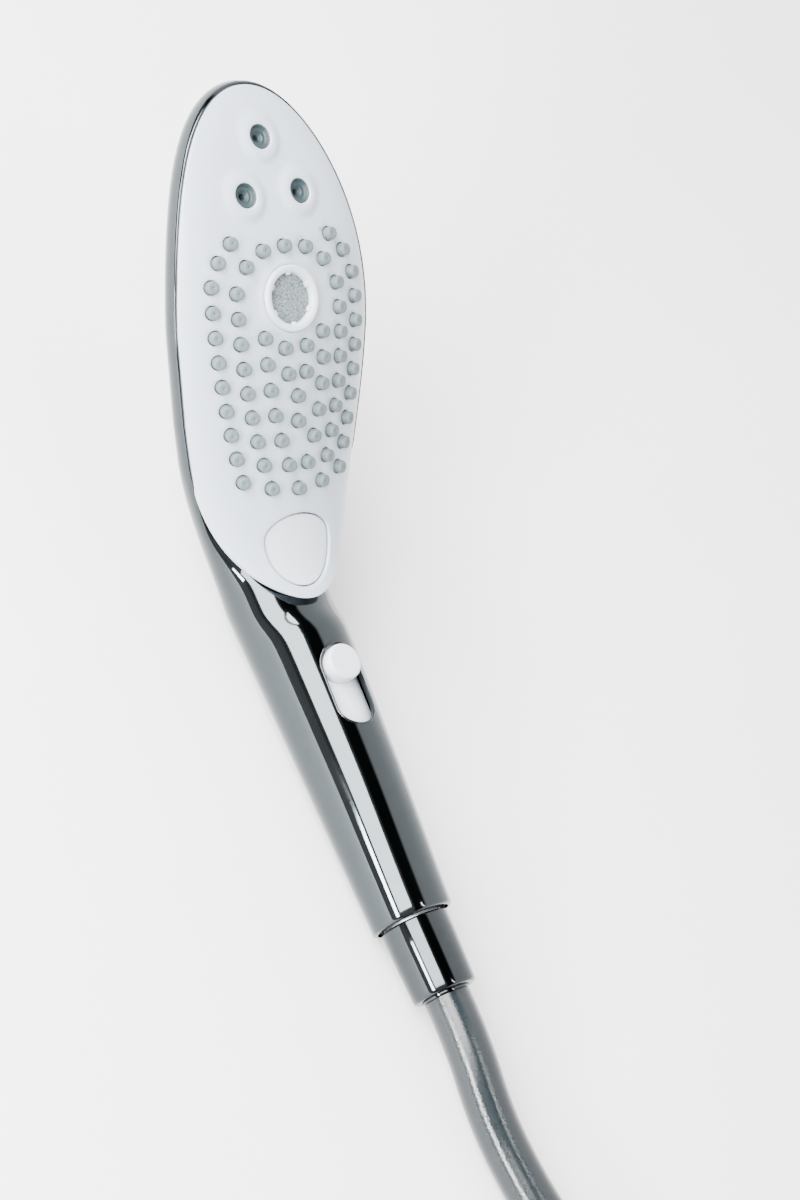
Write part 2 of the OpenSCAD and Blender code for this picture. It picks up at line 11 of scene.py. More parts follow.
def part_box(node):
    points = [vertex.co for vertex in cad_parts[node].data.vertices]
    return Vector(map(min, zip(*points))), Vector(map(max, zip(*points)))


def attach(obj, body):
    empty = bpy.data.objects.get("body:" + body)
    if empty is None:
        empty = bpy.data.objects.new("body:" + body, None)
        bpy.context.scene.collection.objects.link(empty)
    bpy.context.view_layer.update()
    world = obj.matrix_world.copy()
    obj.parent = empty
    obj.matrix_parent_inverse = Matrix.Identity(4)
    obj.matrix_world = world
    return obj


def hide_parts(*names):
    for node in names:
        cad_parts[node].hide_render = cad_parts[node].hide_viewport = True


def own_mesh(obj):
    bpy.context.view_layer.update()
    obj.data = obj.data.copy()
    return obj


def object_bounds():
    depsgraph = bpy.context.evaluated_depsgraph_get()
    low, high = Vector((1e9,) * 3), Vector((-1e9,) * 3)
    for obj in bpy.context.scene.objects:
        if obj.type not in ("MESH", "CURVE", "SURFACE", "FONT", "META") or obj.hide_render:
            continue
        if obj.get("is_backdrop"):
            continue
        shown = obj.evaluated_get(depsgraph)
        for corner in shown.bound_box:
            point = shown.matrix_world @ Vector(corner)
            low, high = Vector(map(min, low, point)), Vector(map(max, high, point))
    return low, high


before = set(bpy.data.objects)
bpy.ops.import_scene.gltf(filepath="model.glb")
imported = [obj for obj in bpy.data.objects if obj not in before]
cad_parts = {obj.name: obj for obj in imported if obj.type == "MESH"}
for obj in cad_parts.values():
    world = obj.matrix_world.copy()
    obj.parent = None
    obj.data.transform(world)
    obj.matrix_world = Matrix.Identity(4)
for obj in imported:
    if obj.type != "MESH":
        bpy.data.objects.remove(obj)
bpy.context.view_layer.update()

MM = 0.001


# ---------------------------------------------------------------- the part's own forms, in millimetres
# head frame: x across, y up the plate, z out of it; the row's frame: y up the handle, z up from the floor
HALF_W, TOP_LEN, LOW_LEN, WIDE_Y = 40.3, 76.5, 92.0, 32.0  # the plate's egg: half width, ends, widest y
RIM_DROP = 2.3  # how far the plate's edge rolls over
TILT = math.radians(37.5)
HEAD_Y, HEAD_Z = 41.8, 66.4  # the head frame's origin in the row's frame
GRIP_R, TAPER, END_Y = 14.3, 0.035, -121.6  # the handle's radius at its end, its growth per mm, and its end
LIP, DECK_DROP, WALL = 1.3, 2.7, 1.5  # casing: past the plate, under the plate's edge, and its thickness
RING_Y, RING_R, RING_LIFT = 40.0, 11.2, 0.45  # the centre spray, and the plate's soft collar round it
JETS, JET_R, JET_LIFT = [(-11.5, 73.9), (11.5, 73.9), (0.0, 92.0)], 4.3, 1.15
NOZZLE_HOLE_R = 2.55
BUTTON_Y, BUTTON_W, BUTTON_MID = -44.0, 14.1, 3.9  # the mode button: place on the plate, half width, centre
BUTTON_UP, BUTTON_DOWN = 8.1, 16.8  # and its reach to both sides of that centre
SLOT_Y, SLOT_R, SLOT_RUN = HEAD_Y - 77, 7.3, 14.0  # the slider's slot: its end on the handle, radius, run
TRACK_AXIS, TRACK_R, KNOB_R = -17.4, 14.55, 14.24  # the round track under the slot, the knob's underside
HOSE_R = 8.0


def mix(a, b, t):
    return a + (b - a) * t


def ease(t):
    t = min(1.0, max(0.0, t))
    return t * t * (3 - 2 * t)


def ramp(y, a, b):
    return ease((y - a) / (b - a))


def egg_w(y, g=0.0):
    """Half width of the egg at y, grown by g."""
    d = WIDE_Y - y
    if d < 0:
        return (HALF_W + g) * math.sqrt(max(0, 1 - (d / (TOP_LEN + g)) ** 2))
    drawn_in = 0.1 * (math.hypot(d, 5) - 5)
    return (HALF_W + g - drawn_in) * math.sqrt(max(0, 1 - (d / (LOW_LEN + g)) ** 4.1))


def egg_y(a, g=0.0):
    """The y of the egg at an angle in degrees from its tip."""
    return WIDE_Y + ((TOP_LEN if a < 90 else LOW_LEN) + g) * math.cos(math.radians(a))


def egg_rho(x, y):
    """0 in the egg's middle, 1 on its edge."""
    d = WIDE_Y - y
    if d < 0:
        return math.hypot(x / HALF_W, d / TOP_LEN)
    return max(abs(x) / max(0.1, egg_w(y)), d / LOW_LEN)


def crown_z(y):
    """Height of the plate's middle line."""
    t = y / 100
    return -7.6 * t ** 2 - 35.8 * t ** 3 + 21.5 * t ** 4 + 0.0105 * max(0, -46 - y) ** 2


def cross_k(y):
    """How much the plate curves across."""
    t = y / 100
    return 0.00716 - 0.00775 * t + 0.00154 * t * t


def face_z(x, y):
    return crown_z(y) - cross_k(y) * x * x - RIM_DROP * min(1.02, egg_rho(x, y)) ** 12


def rim_z(y):
    return crown_z(y) - cross_k(y) * egg_w(y) ** 2 - RIM_DROP


def head(x, y, z):
    """A point of the head's own frame, in the row's frame and in metres."""
    c, s = math.cos(TILT), math.sin(TILT)
    return Vector((x, HEAD_Y + y * c - z * s, HEAD_Z + y * s + z * c)) * MM


def on_face(x, y):
    """The head-frame matrix of a spot on the face, its z square to the surface."""
    sy = math.atan(face_z(x, y + 0.5) - face_z(x, y - 0.5))
    sx = math.atan(face_z(x + 0.5, y) - face_z(x - 0.5, y))
    spot = Matrix.Translation((x, y, face_z(x, y)))
    return spot @ Matrix.Rotation(sy, 4, "X") @ Matrix.Rotation(-sx, 4, "Y")


def circle(r, n):
    return [(r * math.cos(2 * math.pi * k / n), r * math.sin(2 * math.pi * k / n)) for k in range(n)]


def grip_r(y):
    return GRIP_R + TAPER * (y - END_Y)


def grip_top(y):
    return 2 * grip_r(y) + 1.2 * ramp(y, END_Y, -64)


# ---------------------------------------------------------------- camera
cam_data = bpy.data.cameras.new("Camera")
cam_data.lens, cam_data.sensor_width = 90, 36
cam_data.clip_start, cam_data.clip_end = 0.05, 20
camera = bpy.data.objects.new("Camera", cam_data)
bpy.context.scene.collection.objects.link(camera)
bpy.context.scene.camera = camera
turn = Matrix(((0.74517, 0.16165, -0.64699),
               (-0.40443, 0.88095, -0.24570),
               (0.53024, 0.44474, 0.72183)))
camera.matrix_world = Matrix.Translation((-0.63133, -0.27097, 0.77943)) @ turn.to_4x4()


# ---------------------------------------------------------------- mesh helpers
def new_object(name, verts, faces, sharp=35):
    """A mesh piece in metres, smooth but for edges sharper than the angle given."""
    mesh = bpy.data.meshes.new(name)
    mesh.from_pydata([tuple(v) for v in verts], [], faces)
    obj = bpy.data.objects.new(name, mesh)
    bpy.context.scene.collection.objects.link(obj)
    soften(mesh, sharp)
    return obj


def soften(mesh, sharp=35):
    """Joins doubled points, turns the faces outward, and shades all but the sharp edges smooth."""
    bm = bmesh.new()
    bm.from_mesh(mesh)
    bmesh.ops.remove_doubles(bm, verts=bm.verts, dist=2e-6)
    bmesh.ops.dissolve_degenerate(bm, edges=bm.edges, dist=1e-6)
    bmesh.ops.recalc_face_normals(bm, faces=bm.faces)
    for f in bm.faces:
        f.smooth = True
    for e in bm.edges:
        e.smooth = len(e.link_faces) != 2 or e.calc_face_angle(0) < math.radians(sharp)
    bm.to_mesh(mesh)
    bm.free()
    mesh.update()


def join_rings(rings, closed=True, cap0=False, cap1=False, base=0):
    """Faces between rows of equal length."""
    n, m = len(rings), len(rings[0])
    faces = []
    for j in range(n - 1):
        for k in range(m if closed else m - 1):
            a, b = base + j * m + k, base + j * m + (k + 1) % m
            faces.append((a, b, b + m, a + m))
    if cap0:
        faces.append(tuple(base + k for k in reversed(range(m))))
    if cap1:
        faces.append(tuple(base + (n - 1) * m + k for k in range(m)))
    return faces


def lathe(profile, steps, place, closed_profile=True):
    """Vertices and faces of a turned form. profile is [(r, z)], place maps a point to the row's frame."""
    verts, faces = [], []
    rings = []
    for r, z in profile:
        if r < 1e-6:
            rings.append([len(verts)])
            verts.append(place(Vector((0, 0, z))))
        else:
            rings.append(list(range(len(verts), len(verts) + steps)))
            for k in range(steps):
                a = 2 * math.pi * k / steps
                verts.append(place(Vector((r * math.cos(a), r * math.sin(a), z))))
    pairs = list(zip(rings, rings[1:]))
    if closed_profile and len(rings[0]) > 1 and len(rings[-1]) > 1:
        pairs.append((rings[-1], rings[0]))
    for p, q in pairs:
        for k in range(steps):
            a, b = p[k % len(p)], p[(k + 1) % len(p)]
            c, d = q[(k + 1) % len(q)], q[k % len(q)]
            face = [a, b, c, d]
            face = [v for i, v in enumerate(face) if v not in face[:i]]
            if len(face) > 2:
                faces.append(tuple(face))
    return verts, faces


def turned(name, profile, place, steps=96, sharp=35):
    verts, faces = lathe(profile, steps, place)
    return new_object(name, verts, faces, sharp)


class Pile:
    """Several forms gathered into one piece."""

    def __init__(self):
        self.verts, self.faces = [], []

    def add(self, verts, faces):
        n = len(self.verts)
        self.verts += [tuple(v) for v in verts]
        self.faces += [tuple(n + i for i in f) for f in faces]


def cut(obj, cutters):
    """Takes the cutters away from the piece, and removes them."""
    for c in cutters:
        mod = obj.modifiers.new("cut", "BOOLEAN")
        mod.operation, mod.solver, mod.object = "DIFFERENCE", "EXACT", c
    bpy.context.view_layer.update()
    dg = bpy.context.evaluated_depsgraph_get()
    mesh = bpy.data.meshes.new_from_object(obj.evaluated_get(dg))
    obj.modifiers.clear()
    obj.data = mesh
    for c in cutters:
        bpy.data.objects.remove(c)


def prism(name, loop, z0, z1, place):
    """A solid between two heights over an outline, for cutting."""
    verts = [place(Vector((x, y, z))) for z in (z0, z1) for x, y in loop]
    n = len(loop)
    faces = [(k, (k + 1) % n, n + (k + 1) % n, n + k) for k in range(n)]
    faces += [tuple(reversed(range(n))), tuple(range(n, 2 * n))]
    return new_object(name, verts, faces)


# ---------------------------------------------------------------- procedural materials
def set_stops(ramp_node, stops):
    """Makes a colour ramp of [(place, colour)]."""
    marks = ramp_node.color_ramp.elements
    while len(marks) > 1:
        marks.remove(marks[-1])
    marks[0].position, marks[0].color = stops[0][0], (*stops[0][1], 1)
    for pos, c in stops[1:]:
        marks.new(pos).color = (*c, 1)


class Mat:
    """A Principled material with its colour, roughness and bump driven by object-space noise."""

    def __init__(self, name, color, rough, metallic=0.0, scale=900, spread=0.04, bump=0.05,
                 rough_spread=0.06, coat=0.0, ior=1.5):
        m = self.m = bpy.data.materials.new(name)
        m.use_nodes = True
        self.t = m.node_tree
        self.b = next(n for n in self.t.nodes if n.type == "BSDF_PRINCIPLED")
        self.b.inputs["Metallic"].default_value = metallic
        self.b.inputs["Roughness"].default_value = rough
        self.b.inputs["Coat Weight"].default_value = coat
        self.b.inputs["Coat Roughness"].default_value = 0.12
        self.b.inputs["IOR"].default_value = ior
        self.coord = self.node("ShaderNodeTexCoord")
        self.noise = self.node("ShaderNodeTexNoise")
        self.noise.inputs["Scale"].default_value = scale
        self.noise.inputs["Detail"].default_value = 4
        self.link(self.coord.outputs["Object"], self.noise.inputs["Vector"])
        lo = [max(0, c * (1 - spread)) for c in color]
        hi = [min(1, c * (1 + spread)) for c in color]
        self.tint = self.ramp(self.noise.outputs["Fac"], [(0.3, lo), (0.7, hi)])
        self.link(self.tint.outputs["Color"], self.b.inputs["Base Color"])
        self.wide = self.node("ShaderNodeTexNoise")
        self.wide.inputs["Scale"].default_value = 60
        self.wide.inputs["Detail"].default_value = 3
        self.link(self.coord.outputs["Object"], self.wide.inputs["Vector"])
        rr = self.node("ShaderNodeMapRange")
        rr.inputs["From Min"].default_value, rr.inputs["From Max"].default_value = 0.3, 0.7
        rr.inputs["To Min"].default_value = max(0.02, rough - rough_spread)
        rr.inputs["To Max"].default_value = rough + rough_spread
        self.link(self.wide.outputs["Fac"], rr.inputs["Value"])
        self.link(rr.outputs["Result"], self.b.inputs["Roughness"])
        self.bump = self.node("ShaderNodeBump")
        self.bump.inputs["Strength"].default_value = bump
        self.bump.inputs["Distance"].default_value = 0.0002
        self.link(self.noise.outputs["Fac"], self.bump.inputs["Height"])
        self.link(self.bump.outputs["Normal"], self.b.inputs["Normal"])

    def node(self, kind):
        return self.t.nodes.new(kind)

    def link(self, a, b):
        self.t.links.new(a, b)

    def ramp(self, source, stops):
        r = self.node("ShaderNodeValToRGB")
        set_stops(r, stops)
        self.link(source, r.inputs["Fac"])
        return r


chrome = Mat("chrome", (0.060, 0.069, 0.073), 0.065, 1.0, scale=250, spread=0.03, bump=0.004,
             rough_spread=0.015)
nut_chrome = Mat("nut_chrome", (0.052, 0.058, 0.062), 0.08, 1.0, scale=350, spread=0.05, bump=0.012,
                 rough_spread=0.03)
plate_white = Mat("plate_white", (0.43, 0.48, 0.545), 0.36, scale=2600, spread=0.012, bump=0.05,
                  coat=0.15)
trim_white = Mat("trim_white", (0.54, 0.57, 0.62), 0.34, scale=2200, spread=0.015, bump=0.05, coat=0.1)
silicone = Mat("silicone", (0.105, 0.135, 0.14), 0.6, scale=3200, spread=0.10, bump=0.16,
               rough_spread=0.08)
insert_dark = Mat("insert_dark", (0.022, 0.040, 0.046), 0.5, scale=1800, spread=0.12, bump=0.06)
screen_grey = Mat("screen_grey", (0.135, 0.165, 0.17), 0.5, scale=1500, spread=0.75, bump=1.0,
                  rough_spread=0.1)
rubber_black = Mat("rubber_black", (0.02, 0.02, 0.022), 0.72, scale=1500, spread=0.15, bump=0.12)
acetal = Mat("acetal", (0.62, 0.65, 0.62), 0.48, scale=1400, spread=0.04, bump=0.06)
inner_grey = Mat("inner_grey", (0.045, 0.05, 0.055), 0.55, scale=1200, spread=0.1, bump=0.08)
steel = Mat("steel", (0.55, 0.56, 0.58), 0.28, 1.0, scale=1800, spread=0.06, bump=0.08,
            rough_spread=0.08)
brass = Mat("brass", (0.62, 0.45, 0.18), 0.3, 1.0, scale=1300, spread=0.08, bump=0.08,
            rough_spread=0.08)
tie_rubber = Mat("tie_rubber", (0.03, 0.033, 0.036), 0.66, scale=1600, spread=0.15, bump=0.12)

# the hose: dark grey and glossy, its metal thread glinting in fine flakes
hose_skin = Mat("hose_skin", (0.011, 0.015, 0.017), 0.15, 0.0, scale=420, spread=0.10, bump=0.03,
                rough_spread=0.03, coat=0.12, ior=1.46)
cell = hose_skin.node("ShaderNodeTexVoronoi")
cell.inputs["Scale"].default_value = 2300
hose_skin.link(hose_skin.coord.outputs["Object"], cell.inputs["Vector"])
flake = hose_skin.node("ShaderNodeBump")
flake.inputs["Strength"].default_value = 0.3
flake.inputs["Distance"].default_value = 0.00012
hose_skin.link(cell.outputs["Distance"], flake.inputs["Height"])
hose_skin.link(hose_skin.bump.outputs["Normal"], flake.inputs["Normal"])
hose_skin.link(flake.outputs["Normal"], hose_skin.b.inputs["Normal"])

# the CAD nodes that stay as they are
NODE_MATERIALS = {
    "chamber_screws": steel, "inlet_filter": steel,
    "massage_seal": rubber_black, "chamber_gasket": rubber_black, "button_seal": rubber_black,
    "valve_seal": rubber_black, "tube_o_rings": rubber_black, "hose_washer": rubber_black,
    "far_washer": rubber_black, "distributor": acetal, "button_housing": acetal, "button_stem": acetal,
    "feed_pipe": acetal, "flow_gate": acetal, "water_tube": acetal, "chamber_back": inner_grey,
    "index_cam": inner_grey, "valve_body": inner_grey, "flow_limiter": inner_grey,
    "inlet_nipple": steel, "hose_tail": steel, "far_tail": brass, "slider_plate": trim_white,
}


def paint(obj, mat):
    obj.data.materials.clear()
    obj.data.materials.append(mat.m)


def finish_piece(obj, mat, body, slot, *nodes):
    """Paints a piece, rides it on its body, and hides the CAD nodes that it stands for."""
    paint(obj, mat)
    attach(obj, body)
    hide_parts(*nodes)


for name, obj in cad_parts.items():
    paint(obj, NODE_MATERIALS.get(name, steel))


# ---------------------------------------------------------------- the hose: lead, two flat turns, free end
LEAD = [
    (0, -149.3, 14.3), (0, -160, 14.2), (0, -172, 13.1), (0.2, -185, 10.7), (1.2, -198, 8.7),
    (2.6, -212, 8), (4.5, -225, 8), (7.5, -237.5, 8), (11.5, -249.3, 8), (17, -260.5, 8),
    (24, -271, 8), (32, -280.8, 8), (40, -290.5, 8), (47, -301, 8), (52.5, -312.5, 8),
    (56.5, -324.5, 8), (59, -337, 8),
]
COIL_X, COIL_Y, COIL_R, COIL_TURNS, STEPS_A_TURN = -38.0, -350.0, 98.0, 2, 30
END = [
    (20.4, -316.6, 8), (26.5, -332.5, 8.8), (28.6, -350, 11), (26.4, -368, 14.5), (20.6, -385, 18),
    (11.5, -400.5, 21.2), (-2, -413.5, 23.6), (-20.5, -423.5, 25), (-42, -428.5, 26.4), (-56, -430, 27.6),
    (-70, -430.5, 28.4), (-82, -430.5, 28.5),
]
route = [Vector(p) for p in LEAD]
last_turn = COIL_TURNS - math.degrees(math.atan2(END[0][1] - COIL_Y, END[0][0] - COIL_X)) / 360
steps = round(last_turn * STEPS_A_TURN)
for i in range(steps):
    turned_by = last_turn * i / steps
    r, a = COIL_R - 2 * HOSE_R * turned_by, -2 * math.pi * turned_by
    route.append(Vector((COIL_X + r * math.cos(a), COIL_Y + r * math.sin(a), HOSE_R)))
route += [Vector(p) for p in END]


def smooth_path(points, per):
    """Catmull-Rom through the points."""
    made = []
    for i in range(len(points) - 1):
        p0, p1 = points[max(i - 1, 0)], points[i]
        p2, p3 = points[i + 1], points[min(i + 2, len(points) - 1)]
        for k in range(per):
            t = k / per
            made.append(0.5 * (2 * p1 + (p2 - p0) * t + (2 * p0 - 5 * p1 + 4 * p2 - p3) * t * t
                               + (3 * p1 - p0 - 3 * p2 + p3) * t ** 3))
    made.append(points[-1])
    return made


line = [p * MM for p in smooth_path(route, 3)]
curve = bpy.data.curves.new("hose", "CURVE")
curve.dimensions, curve.use_fill_caps = "3D", True
curve.bevel_depth, curve.bevel_resolution = HOSE_R * MM, 7
spline = curve.splines.new("POLY")
spline.points.add(len(line) - 1)
for p, v in zip(spline.points, line):
    p.co = (*v, 1)
spline.use_smooth = True
hose = bpy.data.objects.new("hose_line", curve)
bpy.context.scene.collection.objects.link(hose)
finish_piece(hose, hose_skin, "handset", "hose", "hose", "hose_coil", "hose_end")


# ---------------------------------------------------------------- casing
# a ring: [y, z, tilt, half width, front height, back depth, lip (0 none, 1 full), y on the head]
def head_ring(y):
    z = rim_z(y) - DECK_DROP
    p = head(0, y, z) / MM
    t = (y - WIDE_Y) / (TOP_LEN + LIP)
    back = 17.5 * (math.sqrt(max(0, 1 - t ** 5)) if t > 0 else 1)
    return [p.y, p.z, TILT, egg_w(y, LIP), 0.05, back, 1.0, y]


def grip_ring(y):
    r = grip_r(y)
    return [y, r, 0.0, r, grip_top(y) - r - 4.1 * ramp(y, -23, -7.5), r, 0.0, 0.0]


def neck_ring(t):
    """From the head's ring at t = 0 to the handle's at t = 1."""
    h = head_ring(mix(-14, -60, t))
    start = (head(0, -14, 0) / MM).y + 6
    g = grip_ring(mix(start, -2, t))
    e = ease(t)
    front_pace, lip_pace = e ** 1.6, min(1, e * 2.2)
    paces = [e, e, e, e, front_pace, e, lip_pace, e]
    return [mix(a, b, pace) for a, b, pace in zip(h, g, paces)]


HALF = 30  # steps along half a ring
# the lip's section, from the outside in: how far in, and how far up
LIP_IN = [0, 0.02, 0.1, 0.3, 0.55, 0.8, 0.98, 1.08, 1.12, 1.16, 2.0, 4.0]
LIP_UP = [0, 0.9, 1.7, 2.25, 2.48, 2.45, 2.2, 1.7, 1.0, 0.3, 0.05, 0.05]


def ring_points(ring, thin=0.0):
    """The ring's points in metres, from +x over the front and round the back; thin shrinks it."""
    y, z, tilt, w, front, back, lip, head_y = ring
    w, front, back = w - thin, front - thin, back - thin
    if thin:
        lip = 0
    half = []
    top = 0.0
    for i in range(HALF // 2 + 1):
        a = math.pi / 2 * i / (HALF // 2)
        ex, en = w * math.cos(a), front * math.sin(a)
        if lip == 1.0 and head_y > WIDE_Y:  # round the tip the lip keeps its width square to the outline
            inset = LIP_IN[i] if i < len(LIP_IN) else LIP_IN[-1] + 8.0 * (i - len(LIP_IN) + 1)
            lx = egg_w(head_y, LIP - inset) if TOP_LEN + LIP - inset > head_y - WIDE_Y else 0.0
            if i == HALF // 2:
                lx = 0.0
            if lx > 0 or i == 0:
                top = LIP_UP[i] if i < len(LIP_UP) else LIP_UP[-1]
            ln = top
        elif i < len(LIP_IN):
            lx, ln = max(0, w - LIP_IN[i]), LIP_UP[i]
        else:
            f = (i - len(LIP_IN) + 1) / (HALF // 2 - len(LIP_IN) + 1)
            lx, ln = max(0, w - LIP_IN[-1]) * (1 - f), LIP_UP[-1]
        half.append((mix(ex, lx, lip), mix(en, ln, lip)))
    upper = half + [(-x, n) for x, n in reversed(half[:-1])]
    lower = [(-w * math.cos(math.pi * i / HALF), -back * math.sin(math.pi * i / HALF))
             for i in range(1, HALF)]
    return [Vector((x, y - n * math.sin(tilt), z + n * math.cos(tilt))) * MM for x, n in upper + lower]


def casing_rings():
    """From the head's tip down to the handle's end."""
    angles = [2.5, 4, 5.5, 7, 8, 9, 9.7, 10.3, 11, 12, 13.3, 15, 16.7, 18.5, 22]
    angles += [26 + 4 * k for k in range(22)]
    rings = [head_ring(egg_y(a, LIP)) for a in angles]
    neck_steps = 30
    rings += [neck_ring(k / neck_steps) for k in range(neck_steps + 1)]
    ys = [-4, -6, -8, -9.5, -11, -12.5, -14, -15.5, -17.2, -19, -22, -26, -30, -35, -40, -46, -52, -58,
          -64, -74, -84, -94, -104, -112, -118, -120.3, -121.0, -121.4, -121.6]
    rings += [grip_ring(y) for y in ys]
    for k, off in ((-1, 1.1), (-2, 0.5), (-3, 0.15)):  # the rounded edge of the handle's end
        r = rings[k]
        rings[k] = [r[0], r[1], r[2], r[3] - off, r[4] - off, r[5] - off, 0.0, 0.0]
    return rings


outer = casing_rings()
inner = outer[12:-4] + [grip_ring(END_Y)]  # the lining keeps clear of the tip and of the rounded end
skin = [ring_points(r) for r in outer]
lining = [ring_points(r, WALL) for r in inner]
m = len(skin[0])
verts = [v for ring in skin for v in ring] + [v for ring in lining for v in ring]
base = len(skin) * m
faces = join_rings(skin, cap0=True)
faces += [tuple(reversed(f)) for f in join_rings(lining, cap0=True, base=base)]
a0, b0 = (len(skin) - 1) * m, base + (len(lining) - 1) * m
faces += [(a0 + k, a0 + (k + 1) % m, b0 + (k + 1) % m, b0 + k) for k in range(m)]
casing = new_object("casing_shell", verts, faces, 40)

smooth_mesh = casing.data.copy()
smooth_mesh.calc_loop_triangles()


def slot_place(p):
    slope = math.atan(2 * TAPER)
    return (Matrix.Translation((0, SLOT_Y, grip_top(SLOT_Y))) @ Matrix.Rotation(slope, 4, "X") @ p) * MM


def stadium(r, run, n=20):
    """Outline of a slot that runs down from the origin."""
    top = [(r * math.cos(math.pi * k / n), r * math.sin(math.pi * k / n)) for k in range(n + 1)]
    low = [(-x, -run - y) for x, y in top]
    return top + low


def oval(g, n=90):
    """Outline of the button's opening in its own frame, grown by g."""
    pts = []
    for k in range(n):
        a = 2 * math.pi * k / n
        side = (BUTTON_UP if math.sin(a) > 0 else BUTTON_DOWN) + g
        pts.append(((BUTTON_W + g) * math.cos(a), BUTTON_MID + side * math.sin(a)))
    return pts


def oval_rho(u, v, g):
    """1 on that outline, less inside it."""
    side = BUTTON_UP if v > BUTTON_MID else BUTTON_DOWN
    return math.hypot(u / (BUTTON_W + g), (v - BUTTON_MID) / (side + g))


button_frame = on_face(0, BUTTON_Y)


def button_place(p):
    return head(*(button_frame @ p))


def ledge_cutter():
    """The hollow under the plate, inside the ledge that carries its edge."""
    rows = []
    for a in range(6, 131, 4):
        y = egg_y(a, -6)
        w, z = egg_w(y, -6), rim_z(y) - DECK_DROP
        rows.append([head(-w, y, z - 4), head(w, y, z - 4), head(w, y, z + 22), head(-w, y, z + 22)])
    return new_object("cut_ledge", [p for r in rows for p in r], join_rings(rows, cap0=True, cap1=True))


cut(casing, [
    ledge_cutter(),
    prism("cut_button", oval(0.3), -22, 8, button_place),
    prism("cut_slot", stadium(SLOT_R + 0.75, SLOT_RUN), -9, 5, slot_place),
])
soften(casing.data, 32)


def keep_shading(obj, source, reach=2e-5):
    """Gives the cut piece the shading its surface had before it was cut."""
    tris = [tuple(t.vertices) for t in source.loop_triangles]
    tree = BVHTree.FromPolygons([v.co for v in source.vertices], tris)
    vertex_normals = [v.normal.copy() for v in source.vertices]
    mesh = obj.data
    normals = [None] * len(mesh.loops)
    for poly in mesh.polygons:
        for li in poly.loop_indices:
            co = mesh.vertices[mesh.loops[li].vertex_index].co
            normals[li] = mesh.corner_normals[li].vector.copy()
            hit = tree.find_nearest(co, reach)
            if hit[0] is not None and abs(hit[1].dot(poly.normal)) > 0.93:
                ids = tris[hit[2]]
                w = poly_3d_calc([source.vertices[i].co for i in ids], hit[0])
                n = sum((vertex_normals[i] * k for i, k in zip(ids, w)), Vector())
                if n.length > 0.5 and n.normalized().dot(poly.normal) > 0.85:
                    normals[li] = n.normalized()
    mesh.normals_split_custom_set(normals)


keep_shading(casing, smooth_mesh)
finish_piece(casing, chrome, "handset", "casing", "casing")


# ---------------------------------------------------------------- nozzle spots
def nozzle_spots():
    """x, y of the 64 nozzles: three rows on each side, and those round the centre spray."""
    side = []
    for k in range(11):
        y = 59.1 - 5.8 * k if k < 2 else 45.7 - 8.15 * (k - 2)
        side.append((21 + 5.5 * k if k < 2 else 30.2 - 0.0098 * abs(y - 38) ** 1.7, y))
    for k in range(10):
        y = 51.3 - 8.2 * k
        side.append((16.4 if k == 0 else 21.5 - 0.0049 * abs(y - 35) ** 1.9, y))
    side += [(12.2 - 0.33 * k * k, 27.9 - 8.62 * k) for k in range(6)]
    side += [(4.5, 24), (3.8, 15.4), (9, 55.9)]
    return side + [(-x, y) for x, y in side] + [(0, 56.9), (0, 7.7), (0, -0.7), (0, -23.6)]


# ---------------------------------------------------------------- spray plate
def cap_point(u, v, sink):
    """A point over u, v of the button's own frame, sink under the face."""
    w = 0.0
    for _ in range(8):
        p = button_frame @ Vector((u, v, w))
        w += (face_z(p.x, p.y) - sink - p.z) * 0.9
    return button_frame @ Vector((u, v, w))


def swell(d, r0, r1, height):
    """A soft collar: full height near r0, fading out at r1."""
    return height * (1 - ease((d - r0) / (r1 - r0)))


def plate_z(x, y):
    """The face with its collars round the jets and the centre spray."""
    z = face_z(x, y)
    for jx, jy in JETS:
        d = math.hypot(x - jx, y - jy)
        if d < 10:
            z += swell(d, 5.6, 9.4, JET_LIFT)
    d = math.hypot(x, y - RING_Y)
    if d < 16:
        z += swell(d, 11.8, 13.6, RING_LIFT)
    return z


def circle_on(spot, r, n):
    return [spot @ Vector((x, y, 0)) for x, y in circle(r, n)]


# each kind of hole: how far its edge is opened, the same a little less (to tell the triangles inside it),
# the lift of the plate round it, and the rows of its wall as (growth, height)
HOLE_KINDS = {
    "nozzle": (0.22, 0.2, 0, ((0.08, -0.07), (0, -0.25), (0, -2.3))),
    "jet": (0.5, 0.45, JET_LIFT, ((0.25, -0.06), (0.08, -0.22), (0, -0.5), (0, -3.3))),
    "ring": (0.3, 0.28, RING_LIFT, ((0.1, -0.08), (0, -0.25), (0, -2.6))),
}


